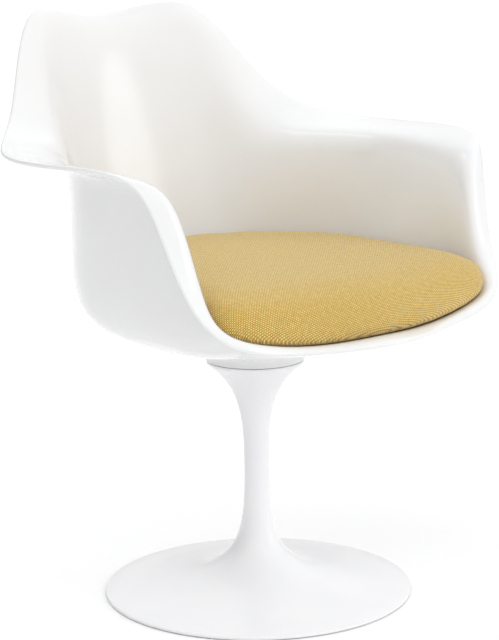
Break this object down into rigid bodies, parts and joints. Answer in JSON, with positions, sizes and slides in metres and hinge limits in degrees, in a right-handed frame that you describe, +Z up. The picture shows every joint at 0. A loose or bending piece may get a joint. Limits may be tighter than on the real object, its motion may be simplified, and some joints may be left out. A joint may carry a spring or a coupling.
{
  "type": "pedestal swivel armchair",
  "caption": "Armchair with a moulded bucket shell that turns on a slim trumpet pedestal, with a loose upholstered seat cushion.",
  "frame": {"origin": "on the floor, in the middle of the chair's width and depth; the swivel axis stands 27.3 mm in front of it", "axes": "+Z up, the sitter faces -Y, +X to the sitter's left"},
  "size_m": [0.6934, 0.6191, 0.8136],
  "materials": {
    "enamel": "satin white baked enamel on cast metal",
    "gelcoat": "glossy white coating on a moulded shell",
    "fabric": "mustard woven wool-like cover over foam",
    "board": "plain plywood",
    "steel": "turned steel",
    "zinc": "zinc-plated steel",
    "nylon": "natural nylon",
    "rubber": "matte dark rubber",
    "hook_tape": "black hook-and-loop tape"
  },
  "bodies": {
    "pedestal": {"pedestal": "enamel", "floor_glide": "rubber", "upper_bush": "nylon", "lower_bush": "nylon", "thrust_washer": "steel"},
    "seat": {"shell": "gelcoat", "swivel_plate": "steel", "clamp_plate": "zinc", "spindle": "steel", "tie_rod": "zinc", "rod_washer": "nylon", "lock_nut": "zinc", "seat_bolt_1": "zinc", "seat_bolt_2": "zinc", "seat_bolt_3": "zinc", "seat_bolt_4": "zinc", "loop_pad_1": "hook_tape", "loop_pad_2": "hook_tape", "loop_pad_3": "hook_tape", "loop_pad_4": "hook_tape"},
    "cushion": {"cushion": "fabric", "cushion_board": "board", "hook_pad_1": "hook_tape", "hook_pad_2": "hook_tape", "hook_pad_3": "hook_tape", "hook_pad_4": "hook_tape"}
  },
  "joints": [
    {"name": "swivel", "type": "hinge", "parent": "pedestal", "child": "seat", "pos_m": [0, -0.0273, 0.3335], "axis": [0, 0, 1], "continuous": true},
    {"name": "cushion_lift", "type": "slide", "parent": "seat", "child": "cushion", "axis": [0, 0, 1], "range_m": [0, 0.15]}
  ]
}
